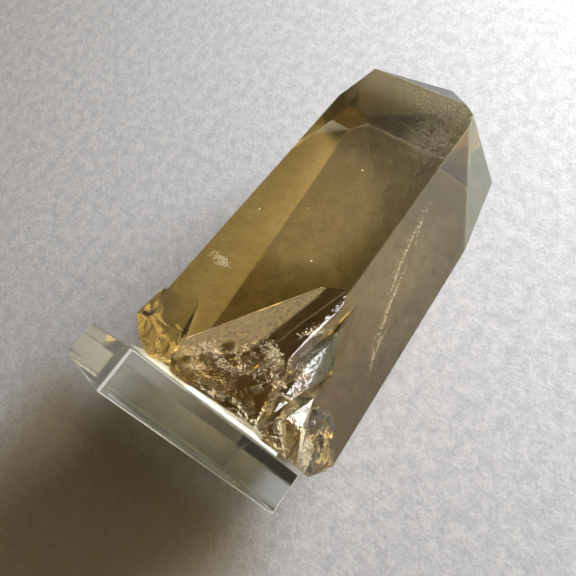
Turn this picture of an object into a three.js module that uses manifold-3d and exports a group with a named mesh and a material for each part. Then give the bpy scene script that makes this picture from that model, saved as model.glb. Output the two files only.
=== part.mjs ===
// A smoky quartz point with side crystals at its foot, fixed with putty on a clear square block.
// The specimen lies on its side: the long prism face opposite the front one is on the floor.
import * as THREE from 'three';
import { ConvexGeometry } from 'three/addons/geometries/ConvexGeometry.js';
import { mergeVertices } from 'three/addons/utils/BufferGeometryUtils.js';
import Module from 'manifold-3d';

// Driving dimensions, millimetres and degrees
const BLOCK_SIDE = 50;
const BLOCK_THICK = 10.5;
const BLOCK_REAR_BEVEL = 3.65;
const BLOCK_TURN = 223.4;
const EDGE_EASE = 0.4;
const LABEL_LONG = 38;
const LABEL_WIDE = 20;
const LABEL_THICK = 0.15;
const JOINT_GAP = 0.3;
const PUTTY_TOP = 12.9;
const FOOT_LEVEL = 11.3;
const FRONT_FOOT = 12.4;
const REST_TAPER = 2.4;
const FLOOR_FACE = -70.45;

const wasm = await Module();
wasm.setup();

// Crystal frame: +Z along the crystal's long axis from the block to the tip, +X out of the front
// prism face, +Y to that face's right-hand edge. A facet is given by the compass angle of its
// normal about the axis (0 = +X, 90 = +Y), the normal's lift towards the tip, and one point on it.
const FACETS = {
  front: [0, 2.4, [-18.6, 24.4, 17.2]],
  front_right: [60, 1.9, [-18.6, 24.4, 17.2]],
  back_right: [120, 2.1, [-42.45, 38.1, 18.2]],
  floor: [180, REST_TAPER, [FLOOR_FACE, 0, BLOCK_THICK]],
  back_left: [233, -0.3, [-69.56, -13.75, 31.8]],
  front_left: [300, 2.64, [-18.9, -14.2, 25.2]],
  foot: [0, -90, [0, 0, FOOT_LEVEL]],
  left_steep: [285, 15, [-22, -12, 97.9]],
  right_steep: [75, 17.3, [-22.3, 23, 105.1]],
  tip_front: [0, 38.2, [-22.5, 5, 110]],
  tip_right: [70, 54.8, [-22.5, 19.1, 110]],
  tip_back: [270, 73.8, [-22.5, -9, 110]],
  tip_floor: [180, 64, [-66.4, 0, 107.7]],
  tip_left: [243, 41, [-50, -24, 104]],
};

// Broken surfaces that cut the whole foot at its left and right, in the same terms
const BREAKS = [
  [278.4, -47, [-18.4, -11.4, 13.6]],
  [270, -70, [-18.4, -11.4, 13.6]],
  [120, -50.5, [-42.2, 38.0, 16.4]],
];

// Shell-shaped breaks in the side crystals and the foot: the centre and radius of each hollow
const SHELL_BREAKS = [
  [[-7.5, 6.6, 18.3], 6.0], [[-8.4, 8.2, 24.4], 5.9], [[-5.6, 17.2, 23.3], 5.2], [[-3.4, 22.1, 23.7], 5.9],
  [[-4.3, 24.9, 25.1], 5.2], [[-23.8, 34.2, 23.2], 4.0], [[-28.2, 35.3, 27.4], 4.6], [[-29.8, 38.7, 18.5], 4.8],
  [[-36.0, 39.5, 22.9], 4.6], [[-33.2, 41.0, 15.8], 4.5], [[-13.4, -14.3, 21.2], 4.5], [[-13.3, -11.2, 15.3], 3.8],
  [[-10.3, -3.9, 14.4], 5.2], [[-9.2, 2.6, 15.3], 5.1], [[-17.7, 34.8, 34.1], 5.1], [[-23.8, 32.2, 28.2], 5.1],
];
const SHELL_DETAIL = 6;

function facetPlane([turn, lift, point]) {
  const a = THREE.MathUtils.degToRad(turn);
  const e = THREE.MathUtils.degToRad(lift);
  const normal = new THREE.Vector3(Math.cos(e) * Math.cos(a), Math.cos(e) * Math.sin(a), Math.sin(e));
  return new THREE.Plane().setFromNormalAndCoplanarPoint(normal, new THREE.Vector3(...point));
}

// The corners of the solid that lies behind every facet
function cornersBehind(planes) {
  const corners = [];
  for (let i = 0; i < planes.length; i += 1) {
    for (let j = i + 1; j < planes.length; j += 1) {
      for (let k = j + 1; k < planes.length; k += 1) {
        const corner = threePlanes(planes[i], planes[j], planes[k]);
        if (!corner || planes.some((p) => p.distanceToPoint(corner) > 1e-6)) continue;
        if (!corners.some((c) => c.distanceTo(corner) < 1e-5)) corners.push(corner);
      }
    }
  }
  return corners;
}

function threePlanes(p, q, r) {
  const qr = new THREE.Vector3().crossVectors(q.normal, r.normal);
  const det = p.normal.dot(qr);
  if (Math.abs(det) < 1e-4) return null;
  const rp = new THREE.Vector3().crossVectors(r.normal, p.normal);
  const pq = new THREE.Vector3().crossVectors(p.normal, q.normal);
  const sum = qr.multiplyScalar(-p.constant).addScaledVector(rp, -q.constant).addScaledVector(pq, -r.constant);
  return sum.divideScalar(det);
}

function solidOf(geometry) {
  geometry.deleteAttribute('normal');
  geometry.deleteAttribute('uv');
  const merged = mergeVertices(geometry, 1e-5);
  const vertProperties = Float32Array.from(merged.attributes.position.array);
  const triVerts = Uint32Array.from(merged.index.array);
  return new wasm.Manifold(new wasm.Mesh({ numProp: 3, vertProperties, triVerts }));
}

function geometryOf(solid) {
  const mesh = solid.getMesh();
  const geometry = new THREE.BufferGeometry();
  geometry.setAttribute('position', new THREE.BufferAttribute(Float32Array.from(mesh.vertProperties), 3));
  geometry.setIndex(new THREE.BufferAttribute(Uint32Array.from(mesh.triVerts), 1));
  geometry.computeVertexNormals();
  return geometry;
}

const hullOf = (points) => solidOf(new ConvexGeometry(points.map((p) => new THREE.Vector3(...p))));

// The main crystal, a tapered six-sided prism cut to a steep, uneven tip
function mainCrystal() {
  return solidOf(new ConvexGeometry(cornersBehind(Object.values(FACETS).map(facetPlane))));
}

// The broad side point at the front of the foot
function frontPoint() {
  return hullOf([
    [-19.4, 17.7, 47.2], [-19.0, 23.7, 49.5], [-17.3, 25.4, 45.0], [-12.8, 24.8, 35.5],
    [-8.4, 25.3, 25.5], [-17.7, -1.0, 20.2], [-14.5, 1.0, 14.3], [-13.9, 2.8, FOOT_LEVEL],
    [-17.0, 18.2, 41.3], [-11.4, 14.5, 24.1], [-9.4, 13.8, FRONT_FOOT], [-6.4, 23.4, 13.8],
    [-6.4, 23.4, FRONT_FOOT], [-5.9, 28.6, FRONT_FOOT], [-30, 2, FOOT_LEVEL], [-30, 28, FOOT_LEVEL],
    [-28, 20, 46], [-26, 2, 19],
  ]);
}

// The narrow spike to the right of the front point
function rightSpike() {
  return hullOf([
    [-22.6, 25.9, 48.8], [-23.7, 26.9, 46.4], [-27.8, 29.6, 36.6], [-28.0, 29.7, 33.1],
    [-11.3, 29.8, 35.1], [-8.6, 29.3, 28.6], [-6.3, 28.1, 22.1], [-4.5, 30.7, 16.3],
    [-8.4, 32.3, 24.4], [-28, 22, 46], [-28, 24, 20], [-12, 24, 16],
  ]);
}

// The thin splinter under the spike, with a sharp edge at the front
function lowSplinter() {
  return hullOf([
    [-5.6, 33.1, 17.2], [-10.9, 33.8, 24.0], [-12.2, 38.4, FOOT_LEVEL], [-6.6, 36.6, 16.9],
    [-9.4, 36.4, FOOT_LEVEL], [-14, 28, 22], [-16, 28, FOOT_LEVEL], [-18, 34, FOOT_LEVEL],
  ]);
}

// Matrix between the foot and the block, low and broken off
function footMass() {
  return hullOf([
    [-5.4, 29.6, FRONT_FOOT], [-6.4, 31.6, 15.6], [-9.6, 36.2, FOOT_LEVEL], [-8.2, 30.4, 22],
    [-18, 39.2, FOOT_LEVEL], [-20, 37.4, 16.4], [-30, 20, FOOT_LEVEL], [-28, 22, 24], [-16, 20, 24],
  ]);
}

// Rough broken ledges on the right side of the foot
function rightLedges() {
  const low = hullOf([
    [-23.2, 29.7, 23.8], [-30.8, 32.2, 26.8], [-37.5, 35.7, 23.4], [-40.9, 38.2, 17.4],
    [-34.7, 35.6, FOOT_LEVEL], [-23.4, 33.0, 16.1], [-28.2, 33.8, 20.4], [-36, 30, FOOT_LEVEL],
    [-24, 30, FOOT_LEVEL], [-39.6, 37.9, FOOT_LEVEL],
  ]);
  const step = hullOf([
    [-26.4, 33.6, 15.6], [-33.2, 36.9, 16.2], [-38.2, 38.8, 14.6], [-24.8, 35.2, FOOT_LEVEL],
    [-38, 39.4, FOOT_LEVEL], [-36, 32, FOOT_LEVEL], [-25, 28, FOOT_LEVEL], [-32, 32, 19.4],
  ]);
  return low.add(step);
}

// Rough broken chips on the left side of the foot
function leftChips() {
  const chip = hullOf([
    [-18.5, -14.7, 26.8], [-18.0, -15.4, 22.1], [-18.1, -16.2, 18.1], [-17.6, -10.9, 13.7],
    [-16.8, -5.7, FOOT_LEVEL], [-16.4, 1.8, FOOT_LEVEL], [-15.7, -1.8, 20.0], [-16.2, -12.0, 18.8],
    [-18.8, -5.0, 28.9], [-26, -17, FOOT_LEVEL], [-28, -19.6, 20], [-27, -17.5, 27], [-26, 0, FOOT_LEVEL],
  ]);
  const facet = hullOf([
    [-16.0, -12.6, 19.6], [-14.9, -1.6, 19.4], [-14.1, 0.6, 13.9], [-15.6, -4.4, FOOT_LEVEL],
    [-16.6, -10.2, 14.6], [-22, -12, 22], [-22, 2, FOOT_LEVEL], [-22, -8, FOOT_LEVEL],
  ]);
  return chip.add(facet);
}

// The room that the foot's broken surfaces leave
function unbroken() {
  const far = [[0, 0], [90, 0], [180, 0], [270, 0], [0, 90]].map(([turn, lift]) => {
    const away = facetPlane([turn, lift, [0, 0, 0]]).normal.multiplyScalar(200);
    return facetPlane([turn, lift, away.toArray()]);
  });
  const under = facetPlane([0, -90, [0, 0, FOOT_LEVEL]]);
  return solidOf(new ConvexGeometry(cornersBehind([...far, under, ...BREAKS.map(facetPlane)])));
}

// A ball of small facets for each shell-shaped break, each ball turned its own way
function breakBalls() {
  return SHELL_BREAKS.map(([centre, radius], turn) => {
    const ball = new THREE.IcosahedronGeometry(radius, SHELL_DETAIL);
    ball.rotateX(turn);
    ball.rotateZ(2 * turn);
    ball.translate(...centre);
    return solidOf(ball);
  });
}

// All the crystals grown into one another, hollowed at the foot where the putty is pressed in
function quartz() {
  const grown = [frontPoint(), rightSpike(), lowSplinter(), footMass(), rightLedges(), leftChips()];
  const whole = grown.reduce((sum, piece) => sum.add(piece), mainCrystal());
  const trimmed = whole.intersect(unbroken()).subtract(puttyRoom());
  return breakBalls().reduce((rest, ball) => rest.subtract(ball), trimmed);
}

// The block: a square plate with a bevel on its rear top edge and slightly eased upright edges
function block() {
  const side = BLOCK_SIDE;
  const b = BLOCK_REAR_BEVEL;
  const e = EDGE_EASE;
  const corners = [];
  for (const x of [0, e, side - e, side]) {
    const inset = x === 0 || x === side ? e : 0;
    corners.push([x, inset, 0], [x, inset, BLOCK_THICK], [x, side - inset, 0]);
    corners.push([x, side - Math.max(inset, 0), BLOCK_THICK - b], [x, side - b, BLOCK_THICK]);
  }
  return geometryOf(hullOf(corners));
}

// The putty: a low pad pressed out between the block and the foot, in the block's own axes.
// Each row gives the outline's X and Y and how high the rim stands there.
const PUTTY_RIM = [
  [16, 3.6, 0.5], [19, 1.4, 1.2], [24, 0.9, 1.7], [30, 0.9, 1.8], [36, 1.2, 1.6], [41, 2.2, 1.1],
  [44.6, 5, 0.7], [46.4, 10, 0.8], [45.4, 19, 1.0], [44, 29, 1.0], [40, 38, 0.9], [33, 43, 0.8],
  [24, 45, 0.8], [15, 42.5, 0.8], [9, 35, 0.8], [6.6, 26, 0.8], [7.2, 16, 0.7], [11, 8, 0.6],
];

function puttyHull(grow) {
  const low = BLOCK_THICK + JOINT_GAP;
  const centre = new THREE.Vector2(27, 22);
  const points = [];
  for (const [x, y, rim] of PUTTY_RIM) {
    for (const [scale, height] of [[1, 0], [1, rim * 0.6], [0.97, rim], [0.72, PUTTY_TOP - low]]) {
      const p = new THREE.Vector2(x, y).sub(centre);
      p.setLength(p.length() * scale + grow).add(centre);
      const z = height === 0 ? low - grow : low + height + grow;
      points.push(new THREE.Vector3(p.x, p.y, z));
    }
  }
  return points;
}

const puttyPad = () => geometryOf(hullOf(puttyHull(0).map((p) => p.toArray())));

function puttyRoom() {
  const turn = THREE.MathUtils.degToRad(-BLOCK_TURN);
  const up = new THREE.Vector3(0, 0, 1);
  return hullOf(puttyHull(JOINT_GAP).map((p) => p.applyAxisAngle(up, turn).toArray()));
}

function material(color, roughness, extra = {}) {
  return new THREE.MeshStandardMaterial({ color, roughness, metalness: 0, ...extra });
}

function named(name, geometry, mat) {
  const mesh = new THREE.Mesh(geometry, mat);
  mesh.name = name;
  return mesh;
}

// The block with its putty and label, turned about the crystal's axis to the angle at which it was mounted
function mountedBlock() {
  const group = new THREE.Group();
  const clear = material(0xe6f0ee, 0.05, { transparent: true, opacity: 0.35 });
  group.add(named('acrylic_base', block(), clear));
  group.add(named('mounting_putty', puttyPad(), material(0xf2f2ee, 0.8)));
  const label = new THREE.BoxGeometry(LABEL_LONG, LABEL_WIDE, LABEL_THICK);
  const sheet = named('base_label', label, material(0xf1efe8, 0.7));
  sheet.position.set(BLOCK_SIDE / 2, BLOCK_SIDE / 2, -JOINT_GAP - LABEL_THICK / 2);
  group.add(sheet);
  group.rotation.z = THREE.MathUtils.degToRad(-BLOCK_TURN);
  return group;
}

// The specimen, first standing on its block and then laid down on its floor facet
function specimen() {
  const upright = new THREE.Group();
  upright.add(named('quartz_crystal', geometryOf(quartz()), material(0x5a4a2a, 0.15)));
  upright.add(mountedBlock());
  const t = THREE.MathUtils.degToRad(REST_TAPER);
  const lay = new THREE.Matrix4().makeBasis(
    new THREE.Vector3(Math.sin(t), 0, Math.cos(t)),
    new THREE.Vector3(0, -1, 0),
    new THREE.Vector3(Math.cos(t), 0, -Math.sin(t)),
  );
  upright.quaternion.setFromRotationMatrix(lay);
  return upright;
}

// The origin is under the middle of the lying specimen, at floor level
function onFloor(object) {
  const group = new THREE.Group();
  group.add(object);
  group.updateMatrixWorld(true);
  const box = new THREE.Box3().setFromObject(group, true);
  const middle = box.getCenter(new THREE.Vector3());
  object.position.set(-middle.x, -middle.y, -box.min.z);
  return group;
}

export default onFloor(specimen());
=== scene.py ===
import math
import random

import bmesh
import bpy
from mathutils import Matrix, Vector, noise


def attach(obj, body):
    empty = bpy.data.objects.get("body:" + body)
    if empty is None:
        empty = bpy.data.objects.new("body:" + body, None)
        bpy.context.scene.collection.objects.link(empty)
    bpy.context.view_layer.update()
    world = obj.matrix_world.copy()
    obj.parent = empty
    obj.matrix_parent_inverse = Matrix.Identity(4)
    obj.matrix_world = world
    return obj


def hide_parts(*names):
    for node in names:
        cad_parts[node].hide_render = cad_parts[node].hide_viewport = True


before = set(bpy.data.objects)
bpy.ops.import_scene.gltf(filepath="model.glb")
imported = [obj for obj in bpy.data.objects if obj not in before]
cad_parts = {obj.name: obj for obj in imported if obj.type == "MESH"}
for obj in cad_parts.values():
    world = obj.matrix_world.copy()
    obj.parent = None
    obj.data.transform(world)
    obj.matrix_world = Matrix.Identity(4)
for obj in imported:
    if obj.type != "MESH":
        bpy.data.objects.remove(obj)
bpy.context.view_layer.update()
MM = 0.001

# The crystal's own axes: u out of the front prism face, v to that face's right-hand edge,
# w along the crystal from the block to the tip. LAY turns them into the lying specimen.
TAPER = math.radians(2.4)
TAPER_SLOPE = 0.0419
CRYSTAL_ORIGIN = Vector((-56.22000, 1.57305, 70.82790)) * MM
AXIS_U = Vector((math.sin(TAPER), 0, math.cos(TAPER)))
AXIS_V = Vector((0, -1, 0))
AXIS_W = Vector((math.cos(TAPER), 0, -math.sin(TAPER)))
LAY = Matrix((AXIS_U, AXIS_V, AXIS_W)).transposed().to_4x4()
LAY.translation = CRYSTAL_ORIGIN
BLOCK_TURN = math.radians(-223.4)
BLOCK_SIDE = 50
BLOCK_THICK = 10.5

# What light does in the clear pieces: how it bends, and the colour and density that absorb it
QUARTZ_IOR = 1.544
QUARTZ_BROWN = ((0.855, 0.76, 0.42), 34)
ACRYLIC_IOR = 1.491
ACRYLIC_TINGE = ((0.80, 0.95, 0.86), 4.0)

# Places on the crystal, in its own axes, in millimetres. A facet is its normal's compass angle
# and lift, in degrees, and one point on it.
FRACTURES = [(-10.2, 17, 22.6), (-8.8, 23.4, 22.8), (-7.4, 29, 23.5), (-13.4, 6.7, 18.5), (-32, 35, 18)]
ETCHED_PATCH = (-21.9, 17.3, 95.5)
WHITE_SPECKS = [(-21.2, 7.3, 79.6), (-20.3, -8.6, 57), (-20, 11.5, 51.7), (-20.4, 2.1, 63.5)]
FROSTED_FACET = (-27.1, 20.4, (-16.52, 12.85, 34.36))
# Facets given a greenish pale film that is a painted reflection tint
GREENISH_REFLECTION_FACETS = [(75, 17.3, (-22.3, 23, 105.1)), (70, 54.8, (-22.5, 19.1, 110))]
# The right prism face: a faint pale film, partly haze and partly painted sheen
RIGHT_FACET = (60, 1.9, (-18.6, 24.4, 17.2))
# Painted shade: the facet under the tip, painted near-black
PAINTED_SHADE_FACET = (180, 64, (-66.4, 0, 107.7))
GOLDEN_BROWN_PATCHES = [(-20.6, 8, 66), (-20.3, 6, 57), (-21, 4, 74)]
BROWN_STAINS = [(-18, -13.6, 20.7), (-17, -10.7, 16.2), (-15, 30, 31), (-29, 33, 19)]
CHLORITE = [(-13.5, 29.9, 36), (-17, 30, 32), (-10.5, 29.8, 31.5)]


def at(u, v, w):
    """A point given in the crystal's axes, in millimetres, as a place in the scene."""
    return LAY @ (Vector((u, v, w)) * MM)


def on_block(x, y, z):
    """A point given in the block's own axes, in millimetres, as a place in the scene."""
    c, s = math.cos(BLOCK_TURN), math.sin(BLOCK_TURN)
    return at(x * c - y * s, x * s + y * c, z)


# ---------------------------------------------------------------- shader expressions
class Ex:
    """A socket that takes part in Python arithmetic."""

    def __init__(self, shader, socket):
        self.shader, self.socket = shader, socket

    def _math(self, operation, *values, **more):
        return self.shader.node("ShaderNodeMath", dict(operation=operation, **more), *values)

    def __add__(self, other):
        return self._math("ADD", self, other)

    def __sub__(self, other):
        return self._math("SUBTRACT", self, other)

    def __rsub__(self, other):
        return self._math("SUBTRACT", other, self)

    def __mul__(self, other):
        return self._math("MULTIPLY", self, other)

    def __abs__(self):
        return self._math("ABSOLUTE", self)

    __radd__ = __add__
    __rmul__ = __mul__

    def least(self, other):
        return self._math("MINIMUM", self, other)

    def most(self, other):
        return self._math("MAXIMUM", self, other)

    def smooth(self, low, high):
        """0 below low, 1 above high, smooth between them. low may be the larger."""
        return self.shader.node(
            "ShaderNodeMapRange",
            dict(interpolation_type="SMOOTHSTEP", clamp=True),
            self, low, high, 0.0, 1.0,
        )


class Shader:
    def __init__(self, name):
        self.material = bpy.data.materials.new(name)
        self.material.use_nodes = True
        self.tree = self.material.node_tree
        self.tree.nodes.clear()
        self.output = self.tree.nodes.new("ShaderNodeOutputMaterial")

    def node(self, kind, settings, *values, out=0, **named):
        n = self.tree.nodes.new(kind)
        for key, value in settings.items():
            setattr(n, key, value)
        sockets = [(n.inputs[i], v) for i, v in enumerate(values)]
        sockets += [(n.inputs[k.replace("_", " ")], v) for k, v in named.items()]
        for socket, value in sockets:
            self.feed(socket, value)
        return Ex(self, n.outputs[out])

    def feed(self, socket, value):
        if value is None:
            return
        if isinstance(value, Ex):
            self.tree.links.new(value.socket, socket)
        else:
            socket.default_value = value

    def place(self):
        """Where a surface point is, in the crystal's axes, in millimetres."""
        here = self.node("ShaderNodeTexCoord", {}, out="Object")
        moved = self.node("ShaderNodeVectorMath", dict(operation="SUBTRACT"), here, CRYSTAL_ORIGIN)
        parts = []
        for axis in (AXIS_U, AXIS_V, AXIS_W):
            dot = dict(operation="DOT_PRODUCT")
            parts.append(self.node("ShaderNodeVectorMath", dot, moved, axis / MM, out="Value"))
        return parts

    def block_place(self, u, v):
        """The same point along and behind the block's front edge, in millimetres."""
        c, s = math.cos(BLOCK_TURN), math.sin(BLOCK_TURN)
        return u * c + v * s, v * c - u * s

    def vector(self, x, y, z):
        return self.node("ShaderNodeCombineXYZ", {}, x, y, z)

    def noise(self, vector, scale, detail=2.0, rough=0.5, distortion=0.0):
        return self.node("ShaderNodeTexNoise", {}, Vector=vector, Scale=scale, Detail=detail,
                         Roughness=rough, Distortion=distortion)

    def mix(self, factor, a, b):
        n = self.tree.nodes.new("ShaderNodeMix")
        n.data_type = "RGBA"
        for index, value in ((0, factor), (6, a), (7, b)):
            self.feed(n.inputs[index], value)
        return Ex(self, n.outputs[2])

    def bump(self, height, strength, distance, normal=None):
        return self.node("ShaderNodeBump", {}, Strength=strength, Distance=distance,
                         Height=height, Normal=normal)

    def surface(self, **named):
        n = self.tree.nodes.new("ShaderNodeBsdfPrincipled")
        for key, value in named.items():
            self.feed(n.inputs[key.replace("_", " ")], value)
        return Ex(self, n.outputs[0])

    def mix_surface(self, factor, a, b):
        return self.node("ShaderNodeMixShader", {}, factor, a, b)

    def done(self, surface, absorb=None):
        self.feed(self.output.inputs["Surface"], surface)
        if absorb:
            colour, density = absorb
            volume = self.node("ShaderNodeVolumeAbsorption", {}, (*colour, 1), density)
            self.feed(self.output.inputs["Volume"], volume)
        return self.material


# ---------------------------------------------------------------- materials
def most_of(masks):
    """The greatest of several masks."""
    total = None
    for mask in masks:
        total = mask if total is None else total.most(mask)
    return total


def spots(shader, here, places, radius):
    """1 within a radius of any of the places, fading out at twice that."""
    distance = dict(operation="DISTANCE")
    return most_of(
        shader.node("ShaderNodeVectorMath", distance, here, place, out="Value").smooth(radius * 2, radius)
        for place in places
    )


def near_facet(u, v, w, facet):
    """1 on a facet, which is given by its normal's compass angle and lift and one point on it."""
    turn, lift, point = facet
    turn, lift = math.radians(turn), math.radians(lift)
    normal = Vector((math.cos(lift) * math.cos(turn), math.cos(lift) * math.sin(turn), math.sin(lift)))
    away = abs(u * normal.x + v * normal.y + w * normal.z - normal.dot(Vector(point)))
    return away.smooth(0.35, 0.15)


def quartz_relief(s, u, v, w, here, grown, fracture):
    """Growth lines on the faces, and rough breaks on the side crystals and the foot."""
    lines = s.noise(s.vector(u * 0.05, v * 0.05, w), 1.3, 3.0, 0.6)
    fine = s.noise(here, 4.0, 3.0, 0.6)
    crinkle = s.noise(here, 0.34, 3.0, 0.6, 1.4)
    patchy = s.noise(here, 0.16, 2.0, 0.5).smooth(0.40, 0.62)
    foot = w.smooth(21, 13)
    rough_break = grown * (patchy * 0.07 + 0.02).most(fracture * 0.26).most(foot * 0.30)
    bump = s.bump(lines * 0.25 + fine * 0.015, 0.06, 0.0004)
    return lines, rough_break, s.bump(crinkle * rough_break, 1.0, 0.0022, bump)


def smoky_quartz():
    """Smoky quartz: clear brown glass with growth lines, rough breaks, stains, etching and dust, with
    painted shade on the face on the floor and under the tip, and painted reflection, sheen and highlights
    in places.
    """
    s = Shader("smoky_quartz")
    u, v, w = s.place()
    here = s.vector(u, v, w)
    proud_of_front = u + 18.6 + (w - 17.2) * TAPER_SLOPE
    proud_of_right = u * 0.5 + v * 0.866 - 11.83 + (w - 17.2) * 0.0332
    above_floor_face = u + 70.45 - (w - BLOCK_THICK) * TAPER_SLOPE
    grown = proud_of_front.most(proud_of_right).smooth(0.15, 0.7)
    front_side = proud_of_front.smooth(-0.4, -0.1)
    floor_face = above_floor_face.smooth(0.6, 0.1)
    fracture = spots(s, here, FRACTURES, 3.0) * s.noise(here, 0.45, 3.0, 0.6).smooth(0.42, 0.55)
    lines, rough_break, bump = quartz_relief(s, u, v, w, here, grown, fracture)

    # Pale films: dust, etching, white specks, frosted facets, golden-brown patches; a painted reflection
    # tint on the greenish facets; partly veil, partly painted reflection toward the tip; partly haze,
    # partly painted sheen on the right prism face; bright cracks, partly painted highlight streaks
    etch = s.noise(here, 1.1, 4.0, 0.65)
    etched = spots(s, here, [ETCHED_PATCH], 4.0) * etch.smooth(0.38, 0.55)
    dusty = w.smooth(46, 96) * v.smooth(-14, 20) * front_side
    dust = s.noise(here, 6.5, 2.0, 0.6).smooth(0.56, 0.66) * (dusty * 0.60 + 0.04)
    frost = near_facet(u, v, w, FROSTED_FACET) * grown * etch.smooth(0.2, 0.6)
    greenish_reflection = most_of(near_facet(u, v, w, facet) for facet in GREENISH_REFLECTION_FACETS)
    streak = s.noise(s.vector(u, v * 0.35, w * 2.4), 0.9, 4.0, 0.7, 0.8).smooth(0.48, 0.60)
    # Lighter golden-brown patches on the main faces of the front side
    bloom = spots(s, here, GOLDEN_BROWN_PATCHES, 6.5) * (etch * 0.7 + lines * 0.5) * front_side
    haze_and_painted_light = etched * 0.07 + dust + spots(s, here, WHITE_SPECKS, 0.18) * 0.85 + frost * 0.26
    # Toward the tip the front side gets a pale film, partly veil and partly painted reflection; the
    # greenish facets get a painted reflection tint
    haze_and_painted_light = haze_and_painted_light + w.smooth(99, 108) * front_side * 0.13 + greenish_reflection * 0.12
    # Partly haze, partly painted sheen: a faint pale film over the right prism face
    haze_and_painted_light = haze_and_painted_light + near_facet(u, v, w, RIGHT_FACET) * 0.06
    # Bright streaks on the cracks: partly the cracks' own whiteness, partly painted highlight
    haze_and_painted_light = haze_and_painted_light + fracture * grown * streak * 0.42 + bloom * (1 - grown) * 0.12
    film = s.mix(frost, (0.66, 0.58, 0.36, 1), (0.85, 0.62, 0.28, 1))
    film = s.mix(greenish_reflection, film, (0.44, 0.49, 0.30, 1))
    film = s.mix(fracture, film, (0.97, 0.78, 0.46, 1))
    film = s.mix(bloom, film, (0.76, 0.52, 0.22, 1))

    # Painted shade on the floor face, a near-black painted shade on the facet under the tip, brown stains
    # and chlorite
    # Painted shade: the face that lies on the floor is tinted dark brown, mottled, darker toward the foot
    # and toward +v
    floor_face_mottle = s.noise(here, 0.11, 5.0, 0.62).smooth(0.38, 0.66)
    floor_face_shade = (floor_face_mottle * 0.30 + w.smooth(66, 38) * 0.55 + v.smooth(2, 18) * 0.36).least(0.9) * floor_face
    tint_with_painted_shade = s.mix(floor_face_shade, (0.98, 0.965, 0.93, 1), (0.30, 0.21, 0.09, 1))
    # Painted shade: the facet under the tip is painted near-black for the shade there; brown stains are
    # mixed in at 0.3
    painted_shade_and_stains = (near_facet(u, v, w, PAINTED_SHADE_FACET) * 0.9).most(spots(s, here, BROWN_STAINS, 4.2) * 0.30)
    chlorite = spots(s, here, CHLORITE, 2.6) * s.noise(here, 1.5, 3.0, 0.6).smooth(0.50, 0.60)

    gloss = 0.015 + etched * 0.12 + rough_break * 0.12 + floor_face * 0.1 + w.smooth(84, 98) * 0.14
    clear = s.surface(Base_Color=tint_with_painted_shade, Roughness=gloss, IOR=QUARTZ_IOR, Transmission_Weight=1.0,
                      Normal=bump)
    powder_and_painted_light = s.surface(Base_Color=film, Roughness=0.9, Normal=bump)
    moss = s.surface(Base_Color=(0.03, 0.07, 0.02, 1), Roughness=0.8, Normal=bump)
    painted_shade_black = s.surface(Base_Color=(0.012, 0.011, 0.006, 1), Roughness=0.7)
    dusted_and_painted_light = s.mix_surface(haze_and_painted_light, clear, powder_and_painted_light)
    mossy = s.mix_surface(chlorite * 0.85, dusted_and_painted_light, moss)
    return s.done(s.mix_surface(painted_shade_and_stains, mossy, painted_shade_black), QUARTZ_BROWN)


def clear_acrylic():
    """Polished acrylic with hairline scuffs, painted highlights on its edges and painted shade on its side
    face at x = 0.
    """
    s = Shader("clear_acrylic")
    u, v, w = s.place()
    x, y = s.block_place(u, v)
    to_side = x.least(BLOCK_SIDE - x)
    to_front = y.least(BLOCK_SIDE - y)
    to_level = w.least(BLOCK_THICK - w)
    # Painted highlight: whitish lines along the upright edges, and narrower ones along the top and bottom
    # edges
    edge = to_side.smooth(0.75, 0.35) * to_front.smooth(0.75, 0.35)
    rim = to_level.smooth(0.34, 0.14) * to_side.least(to_front).smooth(0.5, 0.2)
    scuff = s.noise(s.vector(u * 0.4, v * 2.6, w * 0.8), 1.4, 4.0, 0.7)
    # Painted shade: the side face at x = 0 is tinted brownish for the dark shadow seen through it
    tint_with_painted_shade = s.mix(x.smooth(0.6, 0.2), (0.985, 1.0, 0.99, 1), (0.70, 0.66, 0.54, 1))
    surface = s.surface(
        Base_Color=tint_with_painted_shade, Roughness=0.01 + scuff.smooth(0.6, 0.75) * 0.05,
        IOR=ACRYLIC_IOR, Transmission_Weight=1.0, Normal=s.bump(scuff, 0.03, 0.0003),
    )
    painted_edge_highlight = s.surface(Base_Color=(0.82, 0.85, 0.82, 1), Roughness=0.5)
    return s.done(s.mix_surface((edge * 0.62).most(rim * 0.5), surface, painted_edge_highlight), ACRYLIC_TINGE)


def white_putty():
    """White putty: matt, slightly waxy, with finger dents, and painted shade on its left part."""
    s = Shader("white_putty")
    here = s.node("ShaderNodeTexCoord", {}, out="Object")
    dent = s.noise(here, 260.0, 3.0, 0.55)
    grain = s.noise(here, 2600.0, 2.0, 0.6)
    colour = s.mix(dent.smooth(0.35, 0.7), (0.84, 0.86, 0.86, 1), (0.93, 0.93, 0.90, 1))
    u, v, _ = s.place()
    x, y = s.block_place(u, v)
    # Painted shade: the putty left of a slanted line is darker and yellowish, where the crystal shades it
    shaded = (x - y * 0.386).smooth(16.4, 13.4)
    colour = s.mix(shaded * 0.85, colour, (0.20, 0.18, 0.11, 1))
    surface = s.surface(
        Base_Color=colour, Roughness=0.55 + grain * 0.2,
        Normal=s.bump(dent + grain * 0.2, 0.4, 0.0006),
    )
    return s.done(surface)


def blank_label():
    """Plain paper label."""
    s = Shader("blank_label")
    here = s.node("ShaderNodeTexCoord", {}, out="Object")
    fibre = s.noise(here, 1800.0, 3.0, 0.6)
    colour = s.mix(fibre, (0.80, 0.81, 0.79, 1), (0.88, 0.88, 0.85, 1))
    surface = s.surface(Base_Color=colour, Roughness=0.75, Normal=s.bump(fibre, 0.2, 0.0002))
    return s.done(surface)


# Painted light: the glow colour of the far floor
FAR_FLOOR_PAINTED_GLOW = (0.29, 0.28, 0.26, 1)
# The brown of the painted shadow on the floor beside the block
FLOOR_PAINTED_SHADOW = (0.27, 0.205, 0.10, 1)


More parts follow.
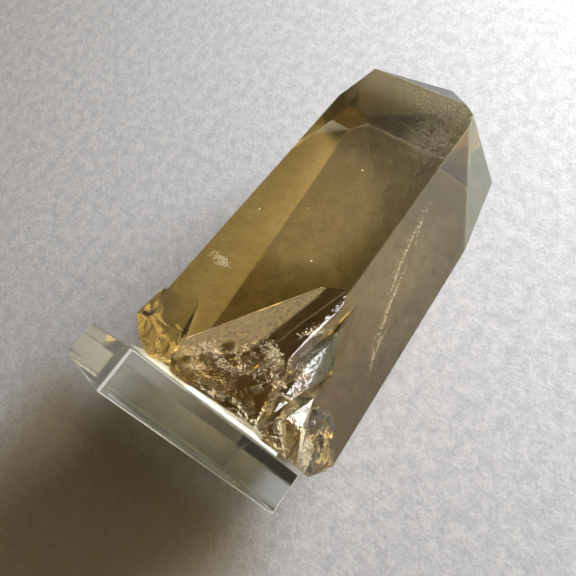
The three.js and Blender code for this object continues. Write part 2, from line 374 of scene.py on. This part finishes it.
def floor_paper():
    """Cool grey felted paper, with a painted brown shadow beside the block and a painted glow far from the
    specimen.
    """
    s = Shader("floor_paper")
    place = s.node("ShaderNodeNewGeometry", {}, out="Position")
    x, y = (s.node("ShaderNodeSeparateXYZ", {}, place, out=axis) for axis in (0, 1))
    # Painted shadow: a brown patch on the floor beside the block, where the shadow through the crystal
    # falls
    along = x.smooth(-0.056, -0.078) * x.smooth(-0.22, -0.13)
    painted_shadow_patch = along * abs(y - 0.020).smooth(0.062, 0.030)
    here = s.node("ShaderNodeTexCoord", {}, out="Object")
    mottle = s.noise(here, 260.0, 5.0, 0.65)
    nap = s.noise(here, 900.0, 4.0, 0.7)
    shade = mottle * 0.6 + nap * 0.4
    colour = s.mix(shade.smooth(0.35, 0.65), (0.40, 0.405, 0.43, 1), (0.54, 0.54, 0.55, 1))
    colour = s.mix(painted_shadow_patch * 0.8, colour, FLOOR_PAINTED_SHADOW)
    # Painted light: the floor glows far from the specimen, so that it looks lit toward the horizon
    far = (x * x + y * y).smooth(0.06, 0.6)
    glow = s.mix(far, (0, 0, 0, 1), FAR_FLOOR_PAINTED_GLOW)
    surface = s.surface(Base_Color=colour, Roughness=0.95, Normal=s.bump(shade, 0.5, 0.0008),
                        Emission_Color=glow, Emission_Strength=1.0)
    return s.done(surface)


# ---------------------------------------------------------------- pieces
def piece(name, mesh, material, slot, *nodes):
    obj = bpy.data.objects.new(name, mesh)
    bpy.context.scene.collection.objects.link(obj)
    mesh.materials.append(material)
    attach(obj, "root")
    if nodes:
        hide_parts(*nodes)
    return obj


def mesh_from(bm, name):
    mesh = bpy.data.meshes.new(name)
    bm.to_mesh(mesh)
    bm.free()
    return mesh


def join_rings(bm, outer, inner):
    """Four-sided faces between two rings of the same number of points."""
    n = len(outer)
    for k in range(n):
        bm.faces.new((outer[k], outer[(k + 1) % n], inner[(k + 1) % n], inner[k]))


# The putty's outline in the block's axes: X, Y and how high the rim stands there
PUTTY_RIM = [
    (16, 3.6, 0.5), (19, 1.4, 1.2), (24, 0.9, 1.7), (30, 0.9, 1.8), (36, 1.2, 1.6), (41, 2.2, 1.1),
    (44.6, 5, 0.7), (46.4, 10, 0.8), (45.4, 19, 1.0), (44, 29, 1.0), (40, 38, 0.9), (33, 43, 0.8),
    (24, 45, 0.8), (15, 42.5, 0.8), (9, 35, 0.8), (6.6, 26, 0.8), (7.2, 16, 0.7), (11, 8, 0.6),
]
PUTTY_CENTRE = Vector((27, 22))
PUTTY_TOP = 2.4
PUTTY_SINK = 0.05
PUTTY_SWELL = 0.3
# Each ring of the pad: its size, and how far up the rim it is, or None on the top
PUTTY_RINGS = [(1.0, 0.0), (1.005, 0.35), (0.998, 0.7), (0.98, 1.0), (0.9, None), (0.72, None), (0.4, None)]
PUTTY_POINTS_ROUND = 144


def closed_curve(points, share):
    """The Catmull-Rom curve through a ring of points, at a share of the way round."""
    n = len(points)
    t = share * n
    i, f = int(t) % n, t - int(t)
    a, b, c, d = (Vector(points[(i + k - 1) % n]) for k in range(4))
    return 0.5 * (2 * b + (c - a) * f + (2 * a - 5 * b + 4 * c - d) * f * f
                  + (3 * b - a - 3 * c + d) * f ** 3)


def putty_pad():
    """The putty, pressed against the block below and the crystal's foot above."""
    bm = bmesh.new()
    made = []
    for scale, share in PUTTY_RINGS:
        ring = []
        for k in range(PUTTY_POINTS_ROUND):
            x, y, rim = closed_curve(PUTTY_RIM, k / PUTTY_POINTS_ROUND)
            flat = PUTTY_CENTRE + (Vector((x, y)) - PUTTY_CENTRE) * scale
            if share is None:
                t = min(1.0, (0.98 - scale) / 0.26)
                high = PUTTY_SWELL + rim + (PUTTY_TOP - rim) * t
            else:
                high = (PUTTY_SWELL + rim) * share
            wave = noise.noise(Vector((flat.x, flat.y, high * 2)) * 0.35) * 0.18
            if 0 < (share or 0) < 1:
                flat = flat + (flat - PUTTY_CENTRE).normalized() * wave
            lift = -PUTTY_SINK if share == 0.0 else high
            ring.append(bm.verts.new(on_block(flat.x, flat.y, BLOCK_THICK + lift)))
        made.append(ring)
    for inner, outer in zip(made[1:], made):
        join_rings(bm, outer, inner)
    bm.faces.new(made[-1])
    bm.faces.new(list(reversed(made[0])))
    bmesh.ops.recalc_face_normals(bm, faces=bm.faces)
    mesh = mesh_from(bm, "putty_pad")
    for polygon in mesh.polygons:
        polygon.use_smooth = len(polygon.vertices) == 4
    return piece("putty_pad", mesh, white_putty(), "white_putty", "mounting_putty")


LABEL_HALF = (19.0, 10.0)
LABEL_CORNER = 2.0
LABEL_TOP, LABEL_BOTTOM = 0.02, -0.13


def paper_label():
    """The blank label, stuck to the underside of the block, with rounded corners."""
    middle = BLOCK_SIDE / 2
    bm = bmesh.new()
    top, bottom = [], []
    for cx, cy, start in ((1, 1, 0), (-1, 1, 90), (-1, -1, 180), (1, -1, 270)):
        for step in range(7):
            a = math.radians(start + step * 15)
            x = middle + cx * (LABEL_HALF[0] - LABEL_CORNER) + LABEL_CORNER * math.cos(a)
            y = middle + cy * (LABEL_HALF[1] - LABEL_CORNER) + LABEL_CORNER * math.sin(a)
            top.append(bm.verts.new(on_block(x, y, LABEL_TOP)))
            bottom.append(bm.verts.new(on_block(x, y, LABEL_BOTTOM)))
    bm.faces.new(top)
    bm.faces.new(list(reversed(bottom)))
    join_rings(bm, bottom, top)
    bmesh.ops.recalc_face_normals(bm, faces=bm.faces)
    mesh = mesh_from(bm, "paper_label")
    return piece("paper_label", mesh, blank_label(), "blank_label", "base_label")


def veil_flakes(name, centre, across, up, size, count, flake, bend, seed, material):
    """A healed crack inside the crystal: tiny flat flakes scattered over a curved sheet."""
    rng = random.Random(seed)
    normal = across.cross(up).normalized()
    bm = bmesh.new()
    for _ in range(count):
        x, y = rng.gauss(0, 0.42), rng.gauss(0, 0.42)
        if abs(x) > 1 or abs(y) > 1:
            continue
        middle = centre + across * (x * size[0]) + up * (y * size[1])
        middle = middle + normal * (bend * (x * x - y * y * 0.5) + rng.gauss(0, 0.15))
        r = flake * rng.uniform(0.4, 1.3)
        tilt = normal + Vector((rng.gauss(0, 0.25), rng.gauss(0, 0.25), rng.gauss(0, 0.25)))
        side = tilt.cross(up).normalized()
        other = tilt.cross(side).normalized()
        turn = rng.uniform(0, math.tau)
        verts = []
        for k in range(5):
            a = turn + k * math.tau / 5
            q = middle + side * (math.cos(a) * r) + other * (math.sin(a) * r * 0.7)
            verts.append(bm.verts.new(at(*q)))
        bm.faces.new(verts)
    return piece(name, mesh_from(bm, name), material, "smoky_quartz")


def veils():
    """The healed cracks that show as gold and silver wisps."""
    s = Shader("veil_flakes")
    flake = s.done(s.surface(Base_Color=(0.86, 0.78, 0.58, 1), Roughness=0.35))
    along = (Vector((-0.29, 0.12, -0.95)), Vector((-0.25, 0.20, -0.95)))
    across = Vector((-0.82, 0.50, 0.30))
    for number, (centre, up, width, length, count) in enumerate([
        ((-30.5, 25.5, 66), along[0], 1.1, 12, 240), ((-34.5, 28.5, 55), along[1], 1.3, 13, 260),
        ((-39, 30, 46), along[0], 1.9, 8, 200), ((-29.5, 24, 77), along[1], 0.9, 6, 80),
    ]):
        veil_flakes(f"veil_{number}", Vector(centre), across, up.normalized(), (width, length), count,
                    0.17, 4.5, 31 + number, flake)
    veil_flakes("feather", Vector((-22.5, -8.6, 40.6)), Vector((0, 0.97, -0.25)),
                Vector((-0.3, 0.25, 0.92)), (3.6, 1.9), 240, 0.22, 0.8, 41, flake)
    for number, (centre, width, length, count) in enumerate([
        ((-14.5, 20.5, 27), 4.5, 2.2, 260), ((-13, 12.5, 19), 4, 2, 200), ((-16, 24, 36), 1.2, 6, 120),
        ((-26, 31, 17), 4, 3, 220),
    ]):
        veil_flakes(f"crack_{number}", Vector(centre), Vector((0.3, 0.9, -0.3)), Vector((-0.5, 0.3, 0.8)),
                    (width, length), count, 0.2, 1.2, 51 + number, flake)


# ---------------------------------------------------------------- stage
def backdrop():
    bpy.ops.mesh.primitive_plane_add(size=30, location=(0.2, 0, -0.0002))
    floor = bpy.context.object
    floor.name = "floor"
    floor.data.materials.append(floor_paper())


def window_light(name, watts, colour):
    """A soft rectangular light where the window is, turned to the specimen."""
    light = bpy.data.lights.new(name, "AREA")
    light.energy, light.color = watts, colour
    light.shape, light.size, light.size_y = "RECTANGLE", *WINDOW_SIZE
    obj = bpy.data.objects.new(name, light)
    bpy.context.scene.collection.objects.link(obj)
    obj.location = WINDOW
    obj.rotation_euler = (Vector(WINDOW_AIM) - Vector(WINDOW)).to_track_quat("-Z", "Y").to_euler()
    return obj


# The camera in the block's axes: its place and two directions, and its focal length in picture widths
CAMERA = (-32.5, -124.25, 9.25)
CAMERA_RIGHT = (0.6848, -0.4381, 0.5824)
CAMERA_DOWN = (0.6237, -0.0586, -0.7795)
FOCAL = 620 / 576
SENSOR = 36.0


def camera():
    cam = bpy.data.objects.new("camera", bpy.data.cameras.new("camera"))
    bpy.context.scene.collection.objects.link(cam)
    cam.data.sensor_width, cam.data.lens = SENSOR, FOCAL * SENSOR
    cam.data.clip_start, cam.data.clip_end = 0.005, 20
    place = on_block(*CAMERA)
    level = on_block(0, 0, 0)
    right = (on_block(*CAMERA_RIGHT) - level).normalized()
    down = (on_block(*CAMERA_DOWN) - level).normalized()
    back = right.cross(-down).normalized()
    up = back.cross(right).normalized()
    turn = Matrix((right, up, back)).transposed().to_4x4()
    turn.translation = place
    cam.matrix_world = turn
    bpy.context.scene.camera = cam


WINDOW = (0.34, -0.15, 0.215)
WINDOW_AIM = (0.0, 0.0, 0.02)
WINDOW_SIZE = (0.24, 0.28)
WINDOW_WATTS = 4.0
WINDOW_COLOUR = (0.97, 0.98, 1.0)
THROUGH_WATTS = 4.2
THROUGH_COLOUR = (1.0, 0.98, 0.9)
ROOM_COLOUR = (1.0, 0.86, 0.64, 1)
ROOM_BRIGHT_SIDE = (0.58, -0.68, 0.45)
ROOM_DIM = 0.018
ROOM_BRIGHT = 1.7
HORIZON_GLOW = 0.26
GLOW_TOP = 0.30


def smooth_step(tree, value, low, high, at_low, at_high):
    n = tree.nodes.new("ShaderNodeMapRange")
    n.interpolation_type = "SMOOTHSTEP"
    for socket, number in zip(n.inputs[1:5], (low, high, at_low, at_high)):
        socket.default_value = number
    tree.links.new(value, n.inputs[0])
    return n.outputs[0]


def lights():
    """A room that is bright toward the window, with a pale band along the horizon."""
    world = bpy.data.worlds.new("studio")
    bpy.context.scene.world = world
    world.use_nodes = True
    tree = world.node_tree
    background = tree.nodes["Background"]
    background.inputs["Color"].default_value = ROOM_COLOUR
    where = tree.nodes.new("ShaderNodeTexCoord").outputs["Generated"]
    toward = tree.nodes.new("ShaderNodeVectorMath")
    toward.operation = "DOT_PRODUCT"
    toward.inputs[1].default_value = ROOM_BRIGHT_SIDE
    split = tree.nodes.new("ShaderNodeSeparateXYZ")
    total = tree.nodes.new("ShaderNodeMath")
    tree.links.new(where, toward.inputs[0])
    tree.links.new(where, split.inputs[0])
    room = smooth_step(tree, toward.outputs["Value"], 0.62, 1.0, ROOM_DIM, ROOM_BRIGHT)
    glow = smooth_step(tree, split.outputs["Z"], GLOW_TOP, 0.0, 0.0, HORIZON_GLOW)
    tree.links.new(room, total.inputs[0])
    tree.links.new(glow, total.inputs[1])
    tree.links.new(total.outputs[0], background.inputs["Strength"])
    window_light("window", WINDOW_WATTS, WINDOW_COLOUR)


def light_through(piece_lit):
    """The window's light that reaches a piece through the clear ones."""
    lamp = window_light("window_through", THROUGH_WATTS, THROUGH_COLOUR)
    linked = bpy.data.collections.new("lit_through")
    linked.objects.link(piece_lit)
    lamp.light_linking.receiver_collection = linked
    lamp.light_linking.blocker_collection = linked


def main():
    camera()
    lights()
    backdrop()
    for name, material in (("quartz_crystal", smoky_quartz()), ("acrylic_base", clear_acrylic())):
        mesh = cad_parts[name].data
        mesh.materials.clear()
        mesh.materials.append(material)
        for polygon in mesh.polygons:
            polygon.use_smooth = False
    putty = putty_pad()
    paper_label()
    veils()
    light_through(putty)
    bpy.context.scene.view_settings.view_transform = "Standard"


main()
